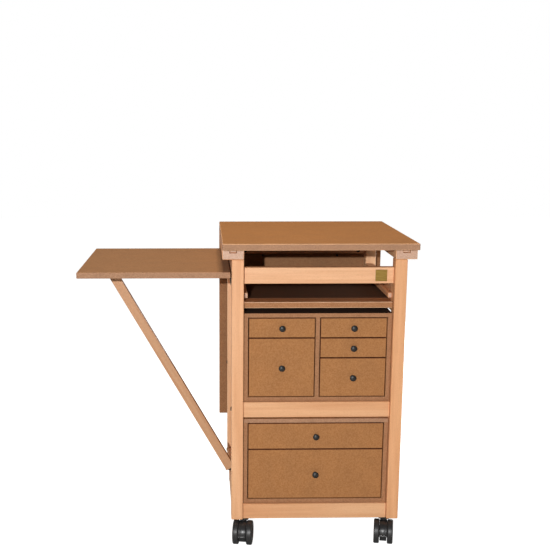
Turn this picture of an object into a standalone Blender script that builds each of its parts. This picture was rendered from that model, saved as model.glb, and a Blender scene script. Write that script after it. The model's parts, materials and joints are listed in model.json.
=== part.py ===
"""Mobile work table: a beech frame on twin-wheel casters with an MDF top on sliding tongues, a drop leaf
behind, a side flap propped by a strut, a pull-out shelf and two drawer cabinets.

Table coordinates, in metres: x = 0 at the middle of the frame, y = 0 at the front faces of the front posts,
with y growing to the rear, and z = 0 on the floor.
"""

from collections import namedtuple
from math import atan2, cos, pi, radians

import bmesh
import bpy
from mathutils import Matrix, Vector

# Beech frame
FRAME_INNER_WIDTH = 0.350
FRAME_DEPTH = 0.476
POST_WIDTH = 0.028
POST_DEPTH = 0.038
RAIL_HEIGHT = 0.038
RAIL_THICKNESS = 0.020
UPPER_RAIL_SETBACK = 0.015
LOWER_RAIL_SETBACK = 0.007
REAR_RAIL_SETBACK = 0.010
LOWER_SIDE_RAIL_SETBACK = 0.002
UPPER_SIDE_RAIL_SETBACK = 0.008
SIDE_RAIL_MARGIN = 0.012
OPEN_SLOT = 0.020
HAND_SLOT = 0.0245
REAR_UPPER_RAIL_LIFT = 0.0135
BEARER_HEIGHT = 0.024
BEARER_OVERHANG = 0.022

# Sliding top and its drop leaf
TOP_THICKNESS = 0.015
TOP_FRONT_OVERHANG = 0.0265
TOP_REAR_OVERHANG = 0.011
TONGUE_WIDTH = 0.015
TONGUE_HEIGHT = 0.0085
TONGUE_PLAY = 0.001
TONGUE_SETBACK = 0.002
LEAF_LENGTH = 0.532
LEAF_GAP = 0.0006
LEAF_HINGE_SPACING = 0.206
LEAF_HINGE_WIDTH = 0.030
LEAF_HINGE_PLATE = 0.045
LEAF_HINGE_STRAP = 0.045
LEAF_HINGE_KNUCKLES = 3

# Side flap and strut
FLAP_WIDTH = 0.357
FLAP_DEPTH = 0.447
FLAP_THICKNESS = 0.014
FLAP_DROP = 0.031
FLAP_HINGE_LENGTH = 0.360
FLAP_HINGE_LEAF = 0.020
FLAP_HINGE_KNUCKLES = 9
STRUT_WIDTH = 0.0228
STRUT_THICKNESS = 0.020
STRUT_REACH = 0.305
STRUT_HEEL = 0.012
STRUT_PIN_HEIGHT = 0.0235
STRUT_PIN_OUTSET = 0.003
STRUT_PIN_RADIUS = 0.003
STRUT_PIN_COVER = 0.004
BRACKET_PLATE = 0.002
BRACKET_NOSE = 0.006
BRACKET_FOOT = 0.026

# Hinge stock
BARREL_RADIUS = 0.0025
HINGE_PLATE = 0.0011
HINGE_PIN_RADIUS = 0.0010

# Pull-out shelf and its runners
RUNNER_WIDTH = 0.010
RUNNER_HEIGHT = 0.012
LOWER_RUNNER_SETBACK = 0.070
UPPER_RUNNER_SETBACK = 0.030
SHELF_THICKNESS = 0.014
SHELF_SETBACK = 0.013
SHELF_REAR_SETBACK = 0.015
SHELF_PLAY = 0.0067
SHELF_SIDE_PLAY = 0.001

# Drawer cabinets and drawers
CABINET_HEIGHT = 0.213
CABINET_WALL = 0.010
CABINET_BACK = 0.006
CABINET_SETBACK = 0.014
CABINET_SIDE_PLAY = 0.001
CABINET_HEADROOM = 0.0057
DRAWER_GAP = 0.0018
DRAWER_SPACING = 0.0022
SHALLOW_FRONT = 0.0461
LOWER_SHALLOW_FRONT = 0.0635
DRAWER_FRONT = 0.012
DRAWER_SIDE = 0.008
DRAWER_BACK = 0.008
DRAWER_BOTTOM = 0.004
DRAWER_BACK_PLAY = 0.004
TRAY_LIFT = 0.0033
TRAY_DROP = 0.006
GLIDE_WIDTH = 0.007
GLIDE_THICKNESS = 0.005
KNOB_RADIUS = 0.0075
KNOB_LENGTH = 0.0145
KNOB_STEM_RADIUS = 0.0042

# Plain plate on the upper front rail
BADGE_SIDE = 0.027
BADGE_THICKNESS = 0.0015
BADGE_FROM_POST = 0.030

# Casters
CASTER_HEAD = 0.005
CASTER_PLATE_SIDE = 0.025
CASTER_PLATE_THICKNESS = 0.0025
CASTER_TRAIL = 0.0125
CASTER_FROM_POST = 0.0025
CASTER_COLLAR_RADIUS = 0.0105
WHEEL_RADIUS = 0.030
WHEEL_WIDTH = 0.0140
WHEEL_ROUNDING = 0.003
HOOD_WIDTH = 0.0180
HOOD_INSET = 0.001
HOOD_LIP_HEIGHT = 0.0268
DRUM_RADIUS = 0.0236
DRUM_WIDTH = 0.0166
AXLE_RADIUS = 0.004
STEM_RADIUS = 0.008
CASTER_TURN = {"front_left": 9.0, "front_right": 10.5, "rear_left": 4.0, "rear_right": 9.0}

# Fits and edges
SEAT = 0.0003
RUNNING_FIT = 0.0006
ARRIS = 0.0012
ROUND_SIDES = 20
WHEEL_SIDES = 36

# Heights, stacked up from the casters
CASTER_HEIGHT = 2 * WHEEL_RADIUS + CASTER_HEAD
LOWER_RAIL_BOTTOM = CASTER_HEIGHT
LOWER_CABINET_BOTTOM = LOWER_RAIL_BOTTOM + RAIL_HEIGHT + SEAT
MIDDLE_RAIL_BOTTOM = LOWER_CABINET_BOTTOM + CABINET_HEIGHT + CABINET_HEADROOM
UPPER_CABINET_BOTTOM = MIDDLE_RAIL_BOTTOM + RAIL_HEIGHT + SEAT
LOWER_RUNNER_BOTTOM = UPPER_CABINET_BOTTOM + CABINET_HEIGHT + RUNNING_FIT
SHELF_BOTTOM = LOWER_RUNNER_BOTTOM + RUNNER_HEIGHT + SEAT
UPPER_RUNNER_BOTTOM = SHELF_BOTTOM + SHELF_THICKNESS + SHELF_PLAY
SIDE_RAIL_TOP = UPPER_RUNNER_BOTTOM + RUNNER_HEIGHT + SIDE_RAIL_MARGIN
UPPER_RAIL_BOTTOM = UPPER_RUNNER_BOTTOM + RUNNER_HEIGHT + HAND_SLOT
POST_TOP = UPPER_RAIL_BOTTOM + RAIL_HEIGHT + OPEN_SLOT
BEARER_BOTTOM = POST_TOP + SEAT
BEARER_TOP = BEARER_BOTTOM + BEARER_HEIGHT
TOP_BOTTOM = BEARER_TOP + SEAT
TOP_TOP = TOP_BOTTOM + TOP_THICKNESS
FLAP_TOP = POST_TOP - FLAP_DROP
FLAP_BOTTOM = FLAP_TOP - FLAP_THICKNESS

# Places across and along the table
INNER = FRAME_INNER_WIDTH / 2
OUTER = INNER + POST_WIDTH
TOP_HALF_WIDTH = OUTER + BEARER_OVERHANG
MIDDLE_Y = FRAME_DEPTH / 2
TOP_REAR = FRAME_DEPTH + TOP_REAR_OVERHANG
BARREL_SEAT = BARREL_RADIUS + SEAT
LEAF_AXIS_Y = TOP_REAR + LEAF_GAP / 2
LEAF_AXIS_Z = TOP_BOTTOM - BARREL_SEAT
LEAF_FRONT = LEAF_AXIS_Y + BARREL_SEAT
LEAF_REAR = LEAF_FRONT + TOP_THICKNESS
FLAP_AXIS_X = -OUTER - BARREL_SEAT
FLAP_AXIS_Z = FLAP_BOTTOM - BARREL_SEAT
FLAP_OUTER_EDGE = FLAP_AXIS_X - FLAP_WIDTH
PIN_X = -OUTER - STRUT_PIN_OUTSET
PIN_Z = LOWER_RAIL_BOTTOM + RAIL_HEIGHT + STRUT_PIN_HEIGHT
REAR_RAIL_Y = FRAME_DEPTH - REAR_RAIL_SETBACK - RAIL_THICKNESS
CABINET_HALF_WIDTH = INNER - CABINET_SIDE_PLAY
CABINET_REAR = FRAME_DEPTH - REAR_RAIL_SETBACK

Body = namedtuple("Body", "empty at")
SIDES = (("left", -1), ("right", 1))


def new_collection(name):
    made = bpy.data.collections.new(name)
    bpy.context.scene.collection.children.link(made)
    return made


def new_material(name, colour, roughness, metallic=0.0):
    made = bpy.data.materials.new(name)
    made.use_nodes = True
    made.diffuse_color = (*colour, 1.0)
    shader = made.node_tree.nodes["Principled BSDF"]
    shader.inputs["Base Color"].default_value = (*colour, 1.0)
    shader.inputs["Roughness"].default_value = roughness
    shader.inputs["Metallic"].default_value = metallic
    return made


def new_body(name, at):
    """An empty on a joint's axis that carries the pieces moving with it."""
    empty = bpy.data.objects.new(name, None)
    parts.objects.link(empty)
    empty.parent = table.empty
    empty.location = at
    return Body(empty, Vector(at))


def mesh_object(name, bm, finish, body, at, helper=False):
    mesh = bpy.data.meshes.new(name)
    bm.to_mesh(mesh)
    bm.free()
    made = bpy.data.objects.new(name, mesh)
    made.parent = body.empty
    made.location = Vector(at) - body.at
    if helper:
        cutters.objects.link(made)
        made.hide_render = True
        made.display_type = "WIRE"
    else:
        parts.objects.link(made)
        mesh.materials.append(finish)
    return made


def blocks(name, spans, finish, body, edge=0.0, helper=False):
    """One mesh of boxes, each given by its lowest and highest corner. The origin is in the first box."""
    at = (Vector(spans[0][0]) + Vector(spans[0][1])) / 2
    bm = bmesh.new()
    for low, high in spans:
        low, high = Vector(low), Vector(high)
        cube = bmesh.ops.create_cube(bm, size=1.0)["verts"]
        bmesh.ops.scale(bm, vec=high - low, verts=cube)
        bmesh.ops.translate(bm, vec=(low + high) / 2 - at, verts=cube)
    made = mesh_object(name, bm, finish, body, at, helper)
    if edge:
        arris = made.modifiers.new("Arris", "BEVEL")
        arris.width = edge
        arris.segments = 1
        arris.limit_method = "ANGLE"
    return made


def block(name, low, high, finish, body, edge=ARRIS, helper=False):
    return blocks(name, [(low, high)], finish, body, edge, helper)


def add_rod(bm, radius, length, axis, centre):
    """Adds a closed cylinder along axis "X", "Y" or "Z"."""
    turn = {
        "X": Matrix.Rotation(pi / 2, 4, "Y"),
        "Y": Matrix.Rotation(pi / 2, 4, "X"),
        "Z": Matrix.Identity(4),
    }
    place = Matrix.Translation(centre) @ turn[axis]
    bmesh.ops.create_cone(
        bm, cap_ends=True, segments=ROUND_SIDES, radius1=radius, radius2=radius, depth=length, matrix=place
    )


def rod(name, radius, length, axis, centre, finish, body, helper=False):
    bm = bmesh.new()
    add_rod(bm, radius, length, axis, (0.0, 0.0, 0.0))
    made = mesh_object(name, bm, finish, body, centre, helper)
    round_shading(made)
    return made


def round_shading(made):
    made.data.shade_smooth()
    made.data.set_sharp_from_angle(angle=0.7)


def boolean(made, other, operation, joins_itself=False):
    cut = made.modifiers.new(operation.title(), "BOOLEAN")
    cut.object = other
    cut.operation = operation
    cut.use_self = joins_itself


def turned(name, profile, steps, rotation, at, finish, body):
    """A shape turned about its own Z axis from (radius, height) points that run from its top to its foot."""
    bm = bmesh.new()
    points = [bm.verts.new((radius, 0.0, height)) for radius, height in profile]
    for above, below in zip(points, points[1:]):
        bm.edges.new((above, below))
    made = mesh_object(name, bm, finish, body, at)
    made.rotation_euler = rotation
    screw = made.modifiers.new("Turn", "SCREW")
    screw.steps = steps
    screw.render_steps = steps
    screw.use_merge_vertices = True
    screw.merge_threshold = 0.00001
    screw.use_smooth_shade = False
    return made


def hinge(names, axis, at, length, knuckles, reaches, bodies, fixed):
    """A butt hinge in the corner between a level face above it and an upright face beyond it.

    names, reaches and bodies each give the level half first and the upright half second. axis is "Y" where
    the upright face lies at +X, and "X" where it lies at +Y. fixed is the index of the half with the pin.
    """
    at = Vector(at)

    def spot(across, up, along):
        return at + (Vector((across, along, up)) if axis == "Y" else Vector((along, across, up)))

    def span(across, up, along):
        low = spot(across[0], up[0], along[0])
        high = spot(across[1], up[1], along[1])
        return low, high

    knuckle = length / knuckles
    clear = BARREL_RADIUS + RUNNING_FIT
    skin = (BARREL_RADIUS - HINGE_PLATE, BARREL_RADIUS)
    ends = (-length / 2, length / 2)
    for half, (name, reach, body) in enumerate(zip(names, reaches, bodies)):
        away = (-reach, -clear)
        spans = [span(away, skin, ends) if half == 0 else span(skin, away, ends)]
        rods = []
        for index in range(half, knuckles, 2):
            start = ends[0] + index * knuckle + RUNNING_FIT / 2
            along = (start, start + knuckle - RUNNING_FIT)
            tab = (-clear - HINGE_PLATE, 0.0)
            spans.append(span(tab, skin, along) if half == 0 else span(skin, tab, along))
            rods.append(spot(0.0, 0.0, sum(along) / 2))
        made = blocks(name, spans, steel, body)
        bm = bmesh.new()
        bm.from_mesh(made.data)
        for centre in rods:
            add_rod(bm, BARREL_RADIUS, knuckle - RUNNING_FIT, axis, centre - body.at - made.location)
        bm.to_mesh(made.data)
        bm.free()
        if half == fixed:
            pin_length = length - RUNNING_FIT
            pin = rod(f"{name}_pin", HINGE_PIN_RADIUS, pin_length, axis, at, None, body, helper=True)
            boolean(made, pin, "UNION", joins_itself=True)
        else:
            bore_radius = HINGE_PIN_RADIUS + SEAT
            bore = rod(f"{name}_bore", bore_radius, length + RUNNING_FIT, axis, at, None, body, helper=True)
            boolean(made, bore, "DIFFERENCE", joins_itself=True)


for old in list(bpy.data.objects):
    bpy.data.objects.remove(old, do_unlink=True)

parts = new_collection("work_table_with_drawers")
cutters = new_collection("cutters")

beech = new_material("oiled_beech", (0.76, 0.47, 0.27), 0.5)
mdf = new_material("raw_mdf", (0.42, 0.20, 0.085), 0.62)
black_plastic = new_material("black_plastic", (0.012, 0.012, 0.013), 0.4)
steel = new_material("zinc_steel", (0.45, 0.44, 0.42), 0.38, 1.0)
brass = new_material("brass", (0.46, 0.36, 0.16), 0.35, 1.0)

# The model stands with the middle of its whole box over the world origin.
table_empty = bpy.data.objects.new("table", None)
parts.objects.link(table_empty)
table_empty.location = (
    -(FLAP_OUTER_EDGE + TOP_HALF_WIDTH) / 2,
    -(LEAF_REAR - TOP_FRONT_OVERHANG) / 2,
    0.0,
)
table = Body(table_empty, Vector((0.0, 0.0, 0.0)))


def build_frame():
    for end, y in (("front", 0.0), ("rear", FRAME_DEPTH - POST_DEPTH)):
        for side, sign in SIDES:
            near, far = sorted((sign * INNER, sign * OUTER))
            low = (near, y, CASTER_HEIGHT)
            block(f"post_{end}_{side}", low, (far, y + POST_DEPTH, POST_TOP), beech, table)
    rail_end = INNER - SEAT
    levels = (("lower", LOWER_RAIL_BOTTOM), ("middle", MIDDLE_RAIL_BOTTOM), ("upper", UPPER_RAIL_BOTTOM))
    for level, bottom in levels:
        setback = UPPER_RAIL_SETBACK if level == "upper" else LOWER_RAIL_SETBACK
        rear_bottom = bottom + REAR_UPPER_RAIL_LIFT if level == "upper" else bottom
        for end, y, foot in (("front", setback, bottom), ("rear", REAR_RAIL_Y, rear_bottom)):
            low = (-rail_end, y, foot)
            high = (rail_end, y + RAIL_THICKNESS, foot + RAIL_HEIGHT)
            block(f"{end}_rail_{level}", low, high, beech, table)
    side_ends = (POST_DEPTH + SEAT, FRAME_DEPTH - POST_DEPTH - SEAT)
    spans = (
        ("lower", LOWER_RAIL_BOTTOM, LOWER_RAIL_BOTTOM + RAIL_HEIGHT, LOWER_SIDE_RAIL_SETBACK),
        ("upper", LOWER_RUNNER_BOTTOM, SIDE_RAIL_TOP, UPPER_SIDE_RAIL_SETBACK),
    )
    for side, sign in SIDES:
        for level, bottom, top, setback in spans:
            outer = OUTER - setback
            near, far = sorted((sign * (outer - RAIL_THICKNESS), sign * outer))
            low = (near, side_ends[0], bottom)
            block(f"side_rail_{level}_{side}", low, (far, side_ends[1], top), beech, table)
    low = (-OUTER, side_ends[0], SIDE_RAIL_TOP + SEAT)
    block("flap_rail", low, (RAIL_THICKNESS - OUTER, side_ends[1], FLAP_TOP), beech, table)


def build_bearers():
    """Front-to-back beech bearers on the posts, each ploughed along its top for a tongue of the top."""
    centre = TOP_HALF_WIDTH - (POST_WIDTH + BEARER_OVERHANG) / 2
    half_groove = TONGUE_WIDTH / 2 + TONGUE_PLAY
    floor = TOP_BOTTOM - TONGUE_HEIGHT - TONGUE_PLAY
    for side, sign in SIDES:
        near, far = sorted((sign * INNER, sign * TOP_HALF_WIDTH))
        name = f"bearer_{side}"
        made = block(name, (near, 0.0, BEARER_BOTTOM), (far, FRAME_DEPTH, BEARER_TOP), beech, table)
        low = (sign * centre - half_groove, -POST_DEPTH, floor)
        high = (sign * centre + half_groove, FRAME_DEPTH + POST_DEPTH, TOP_TOP)
        groove = block(f"{name}_groove", low, high, None, table, edge=0.0, helper=True)
        boolean(made, groove, "DIFFERENCE")


def build_top():
    low = (-TOP_HALF_WIDTH, -TOP_FRONT_OVERHANG, TOP_BOTTOM)
    block("table_top", low, (TOP_HALF_WIDTH, TOP_REAR, TOP_TOP), mdf, sliding_top)
    centre = TOP_HALF_WIDTH - (POST_WIDTH + BEARER_OVERHANG) / 2
    for side, sign in SIDES:
        low = (sign * centre - TONGUE_WIDTH / 2, TONGUE_SETBACK, TOP_BOTTOM - TONGUE_HEIGHT)
        high = (sign * centre + TONGUE_WIDTH / 2, FRAME_DEPTH - TONGUE_SETBACK, TOP_BOTTOM - SEAT)
        block(f"top_tongue_{side}", low, high, beech, sliding_top)
    leaf_top = LEAF_AXIS_Z - LEAF_GAP / 2
    low = (-TOP_HALF_WIDTH, LEAF_FRONT, leaf_top - LEAF_LENGTH)
    block("rear_leaf", low, (TOP_HALF_WIDTH, LEAF_REAR, leaf_top), mdf, leaf)
    for side, sign in SIDES:
        hinge(
            (f"leaf_hinge_{side}_plate", f"leaf_hinge_{side}_strap"),
            "X",
            (sign * LEAF_HINGE_SPACING / 2, LEAF_AXIS_Y, LEAF_AXIS_Z),
            LEAF_HINGE_WIDTH,
            LEAF_HINGE_KNUCKLES,
            (LEAF_HINGE_PLATE, LEAF_HINGE_STRAP),
            (sliding_top, leaf),
            fixed=0,
        )


def build_flap():
    low = (FLAP_OUTER_EDGE, MIDDLE_Y - FLAP_DEPTH / 2, FLAP_BOTTOM)
    block("side_flap", low, (FLAP_AXIS_X, MIDDLE_Y + FLAP_DEPTH / 2, FLAP_TOP), mdf, flap)
    hinge(
        ("flap_hinge_moving_leaf", "flap_hinge_fixed_leaf"),
        "Y",
        (FLAP_AXIS_X, MIDDLE_Y, FLAP_AXIS_Z),
        FLAP_HINGE_LENGTH,
        FLAP_HINGE_KNUCKLES,
        (FLAP_HINGE_LEAF, FLAP_HINGE_LEAF),
        (flap, table),
        fixed=1,
    )


def build_strut():
    """A beech prop that leans out from a pin on the lower left rail, mitred to lie flat under the flap."""
    rise = FLAP_BOTTOM - SEAT - PIN_Z
    lean = atan2(STRUT_REACH, rise)
    length = rise / cos(lean) + STRUT_WIDTH
    bm = bmesh.new()
    cube = bmesh.ops.create_cube(bm, size=1.0)["verts"]
    bmesh.ops.scale(bm, vec=(STRUT_WIDTH, STRUT_THICKNESS, length + STRUT_HEEL), verts=cube)
    bmesh.ops.translate(bm, vec=(0.0, 0.0, (length - STRUT_HEEL) / 2), verts=cube)
    made = mesh_object("strut", bm, beech, strut, strut.at)
    made.rotation_euler = (0.0, -lean, 0.0)
    bore_front = MIDDLE_Y - STRUT_THICKNESS / 2 + STRUT_PIN_COVER
    bore_at = (PIN_X, bore_front + STRUT_THICKNESS / 2, PIN_Z)
    bore_radius = STRUT_PIN_RADIUS + SEAT
    bore = rod("strut_bore", bore_radius, STRUT_THICKNESS, "Y", bore_at, None, strut, helper=True)
    boolean(made, bore, "DIFFERENCE")
    low = (PIN_X - FLAP_WIDTH, 0.0, FLAP_BOTTOM - SEAT)
    above = block("strut_mitre", low, (PIN_X, FRAME_DEPTH, TOP_TOP), None, strut, edge=0.0, helper=True)
    boolean(made, above, "DIFFERENCE")

    seat = LOWER_RAIL_BOTTOM + RAIL_HEIGHT + SEAT
    rail_outer = LOWER_SIDE_RAIL_SETBACK - OUTER
    rail_inner = rail_outer + RAIL_THICKNESS
    near = MIDDLE_Y + STRUT_THICKNESS / 2 + RUNNING_FIT
    within = near + BRACKET_PLATE / 2
    foot = ((rail_outer, within, seat), (rail_inner, near + BRACKET_FOOT, seat + BRACKET_PLATE))
    cheek_low = (PIN_X - BRACKET_NOSE, near, seat + BRACKET_PLATE / 2)
    cheek_high = (rail_inner - BRACKET_PLATE, near + BRACKET_PLATE, PIN_Z + BRACKET_NOSE)
    bracket = blocks("strut_bracket", [foot, (cheek_low, cheek_high)], steel, table)
    pin_front = bore_front + RUNNING_FIT
    pin_middle = (PIN_X, (pin_front + within) / 2, PIN_Z)
    pin_length = within - pin_front
    pin = rod("strut_bracket_pin", STRUT_PIN_RADIUS, pin_length, "Y", pin_middle, None, table, helper=True)
    boolean(bracket, pin, "UNION", joins_itself=True)


def build_shelf():
    for side, sign in SIDES:
        near, far = sorted((sign * (INNER - RUNNER_WIDTH), sign * (INNER - SEAT)))
        levels = (
            ("lower", LOWER_RUNNER_BOTTOM, LOWER_RUNNER_SETBACK),
            ("upper", UPPER_RUNNER_BOTTOM, UPPER_RUNNER_SETBACK),
        )
        for level, bottom, front in levels:
            low = (near, front, bottom)
            high = (far, FRAME_DEPTH - POST_DEPTH, bottom + RUNNER_HEIGHT)
            block(f"shelf_runner_{level}_{side}", low, high, beech, table)
    half = INNER - SHELF_SIDE_PLAY
    low = (-half, SHELF_SETBACK, SHELF_BOTTOM)
    high = (half, FRAME_DEPTH - SHELF_REAR_SETBACK, SHELF_BOTTOM + SHELF_THICKNESS)
    block("pull_out_shelf", low, high, mdf, shelf)


def build_cabinet(name, bottom, columns):
    """A cabinet with one column of drawers for each (left, right) opening.

    A column lists (drawer, front height) from the top down. Its last drawer, given None, takes what is left.
    """
    front = CABINET_SETBACK
    top = bottom + CABINET_HEIGHT
    floor = bottom + CABINET_WALL
    ceiling = top - CABINET_WALL
    cavities = []
    glides = []
    for (left, right), drawers in columns:
        cavities.append(((left, -POST_DEPTH, floor), (right, CABINET_REAR - CABINET_BACK, ceiling)))
        front_top = ceiling - DRAWER_GAP
        for drawer, height in drawers:
            front_bottom = floor + DRAWER_GAP if height is None else front_top - height
            tray = front_bottom + TRAY_LIFT
            glide_bottom = floor - SEAT if height is None else tray - SEAT - GLIDE_THICKNESS
            for near, far in ((left - SEAT, left + GLIDE_WIDTH), (right - GLIDE_WIDTH, right + SEAT)):
                low = (near, front + DRAWER_FRONT + RUNNING_FIT, glide_bottom)
                glides.append((low, (far, CABINET_REAR - CABINET_BACK / 2, tray - SEAT)))
            build_drawer(drawer, (left, right), (front_bottom, front_top))
            front_top = front_bottom - DRAWER_SPACING
    low = (-CABINET_HALF_WIDTH, front, bottom)
    made = block(name, low, (CABINET_HALF_WIDTH, CABINET_REAR, top), mdf, table, edge=0.0)
    boolean(made, blocks(f"{name}_cavities", cavities, None, table, helper=True), "DIFFERENCE")
    boolean(made, blocks(f"{name}_glides", glides, None, table, helper=True), "UNION")


def build_drawer(name, across, upright):
    left, right = across[0] + DRAWER_GAP, across[1] - DRAWER_GAP
    bottom, top = upright
    front = CABINET_SETBACK
    rear = CABINET_REAR - CABINET_BACK - DRAWER_BACK_PLAY
    middle = ((left + right) / 2, front, (bottom + top) / 2)
    body = new_body(f"{name}_slide", middle)
    panel = ((left, front, bottom), (right, front + DRAWER_FRONT, top))
    tray = ((left, front + DRAWER_FRONT / 2, bottom + TRAY_LIFT), (right, rear, top - TRAY_DROP))
    made = blocks(name, [panel, tray], mdf, body)
    low = (left + DRAWER_SIDE, front + DRAWER_FRONT, tray[0][2] + DRAWER_BOTTOM)
    high = (right - DRAWER_SIDE, rear - DRAWER_BACK, top + CABINET_WALL)
    inside = block(f"{name}_inside", low, high, None, body, edge=0.0, helper=True)
    boolean(made, inside, "DIFFERENCE", joins_itself=True)
    build_knob(f"{name}_knob", middle, body)


def build_knob(name, at, body):
    """A black mushroom knob, turned about the axis that stands out from the drawer front."""
    rim = KNOB_LENGTH * 0.72
    profile = (
        (0.0, KNOB_LENGTH),
        (KNOB_RADIUS * 0.6, KNOB_LENGTH * 0.96),
        (KNOB_RADIUS * 0.9, KNOB_LENGTH * 0.85),
        (KNOB_RADIUS, rim),
        (KNOB_RADIUS * 0.9, KNOB_LENGTH * 0.58),
        (KNOB_STEM_RADIUS, KNOB_LENGTH * 0.42),
        (KNOB_STEM_RADIUS, KNOB_LENGTH * 0.12),
        (KNOB_STEM_RADIUS * 1.3, SEAT),
        (0.0, SEAT),
    )
    made = turned(name, profile, ROUND_SIDES, (pi / 2, 0.0, 0.0), at, black_plastic, body)
    round_shading(made)


def build_cabinets():
    half_divider = CABINET_WALL / 2
    inner = CABINET_HALF_WIDTH - CABINET_WALL
    left_column = (("drawer_upper_left_shallow", SHALLOW_FRONT), ("drawer_upper_left_deep", None))
    right_column = (
        ("drawer_upper_right_top", SHALLOW_FRONT),
        ("drawer_upper_right_second", SHALLOW_FRONT),
        ("drawer_upper_right_deep", None),
    )
    columns = (((-inner, -half_divider), left_column), ((half_divider, inner), right_column))
    build_cabinet("upper_cabinet", UPPER_CABINET_BOTTOM, columns)
    wide_column = (("drawer_lower_shallow", LOWER_SHALLOW_FRONT), ("drawer_lower_deep", None))
    build_cabinet("lower_cabinet", LOWER_CABINET_BOTTOM, (((-inner, inner), wide_column),))


def build_badge():
    centre_x = INNER - BADGE_FROM_POST
    centre_z = UPPER_RAIL_BOTTOM + RAIL_HEIGHT / 2
    front = UPPER_RAIL_SETBACK - SEAT - BADGE_THICKNESS
    low = (centre_x - BADGE_SIDE / 2, front, centre_z - BADGE_SIDE / 2)
    high = (centre_x + BADGE_SIDE / 2, front + BADGE_THICKNESS, centre_z + BADGE_SIDE / 2)
    block("badge_plate", low, high, brass, table, edge=BADGE_THICKNESS / 4)


def build_caster(where, x, y):
    """A twin-wheel caster, left at a turn that is clockwise from above.

    The plate, the stem, the hood and its drum swivel together. The wheels share an axle in the drum.
    """
    turn = Matrix.Rotation(-radians(CASTER_TURN[where]), 3, "Z")
    axle = (x, y - CASTER_TRAIL, WHEEL_RADIUS)
    swivel = new_body(f"caster_{where}_swivel", (x, y, CASTER_HEIGHT))
    turned_axle = swivel.at + turn @ (Vector(axle) - swivel.at)
    spin = new_body(f"caster_{where}_spin", turned_axle)
    for body in (swivel, spin):
        body.empty.rotation_euler = turn.to_euler()
    plate_top = CASTER_HEIGHT - SEAT
    plate_bottom = plate_top - CASTER_PLATE_THICKNESS
    half = CASTER_PLATE_SIDE / 2
    hood_radius = WHEEL_RADIUS - HOOD_INSET
    hood = rod(f"caster_{where}", hood_radius, HOOD_WIDTH, "X", axle, black_plastic, swivel)
    low = (x - HOOD_WIDTH, axle[1] - WHEEL_RADIUS, -WHEEL_RADIUS)
    high = (x + HOOD_WIDTH, axle[1] + WHEEL_RADIUS, HOOD_LIP_HEIGHT)
    foot = block(f"caster_{where}_open_foot", low, high, None, swivel, edge=0.0, helper=True)
    drum = rod(f"caster_{where}_drum", DRUM_RADIUS, DRUM_WIDTH, "X", axle, None, swivel, helper=True)
    bm = bmesh.new()
    stem_length = plate_bottom - WHEEL_RADIUS + CASTER_PLATE_THICKNESS / 2
    add_rod(bm, STEM_RADIUS, stem_length, "Z", (0.0, 0.0, -stem_length / 2))
    stem_at = (x, y, WHEEL_RADIUS + stem_length)
    mount = mesh_object(f"caster_{where}_stem", bm, None, swivel, stem_at, helper=True)
    collar_bottom = 2 * WHEEL_RADIUS + RUNNING_FIT
    collar_height = plate_bottom + CASTER_PLATE_THICKNESS / 3 - collar_bottom
    collar_at = (x, y, collar_bottom + collar_height / 2)
    collar = rod(
        f"caster_{where}_collar",
        CASTER_COLLAR_RADIUS, collar_height, "Z", collar_at, None, swivel, helper=True
    )
    low = (x - half, y - half, plate_bottom)
    plate = block(
        f"caster_{where}_plate", low, (x + half, y + half, plate_top), None, swivel, edge=0.0, helper=True
    )
    bore = rod(
        f"caster_{where}_bore", AXLE_RADIUS + SEAT, 2 * HOOD_WIDTH, "X", axle, None, swivel, helper=True
    )
    boolean(hood, foot, "DIFFERENCE")
    for piece in (drum, mount, collar, plate):
        boolean(hood, piece, "UNION")
    boolean(hood, bore, "DIFFERENCE")

    inner = HOOD_WIDTH / 2 + RUNNING_FIT
    outer = inner + WHEEL_WIDTH
    rim = WHEEL_RADIUS - WHEEL_ROUNDING
    upper = (
        (0.0, outer),
        (rim, outer),
        (WHEEL_RADIUS, outer - WHEEL_ROUNDING),
        (WHEEL_RADIUS, inner + WHEEL_ROUNDING),
        (rim, inner),
        (AXLE_RADIUS, inner),
    )
    lower = tuple((radius, -height) for radius, height in reversed(upper))
    along_x = (0.0, pi / 2, 0.0)
    wheels = turned(
        f"caster_{where}_wheels", upper + lower, WHEEL_SIDES, along_x, turned_axle, black_plastic, spin
    )
    round_shading(wheels)


def build_casters():
    for end, y in (("front", POST_DEPTH / 2), ("rear", FRAME_DEPTH - POST_DEPTH / 2)):
        for side, sign in SIDES:
            build_caster(f"{end}_{side}", sign * (INNER - CASTER_FROM_POST), y)


sliding_top = new_body("top_slide", (0.0, MIDDLE_Y, TOP_BOTTOM))
leaf = new_body("leaf_hinge", (0.0, LEAF_AXIS_Y, LEAF_AXIS_Z))
flap = new_body("flap_fold", (FLAP_AXIS_X, MIDDLE_Y, FLAP_AXIS_Z))
strut = new_body("strut_swing", (PIN_X, MIDDLE_Y, PIN_Z))
shelf = new_body("shelf_slide", (0.0, SHELF_SETBACK, SHELF_BOTTOM))

build_frame()
build_bearers()
build_top()
build_flap()
build_strut()
build_shelf()
build_cabinets()
build_badge()
build_casters()
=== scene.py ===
import json
import math

import bpy
from mathutils import Matrix, Vector


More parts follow.
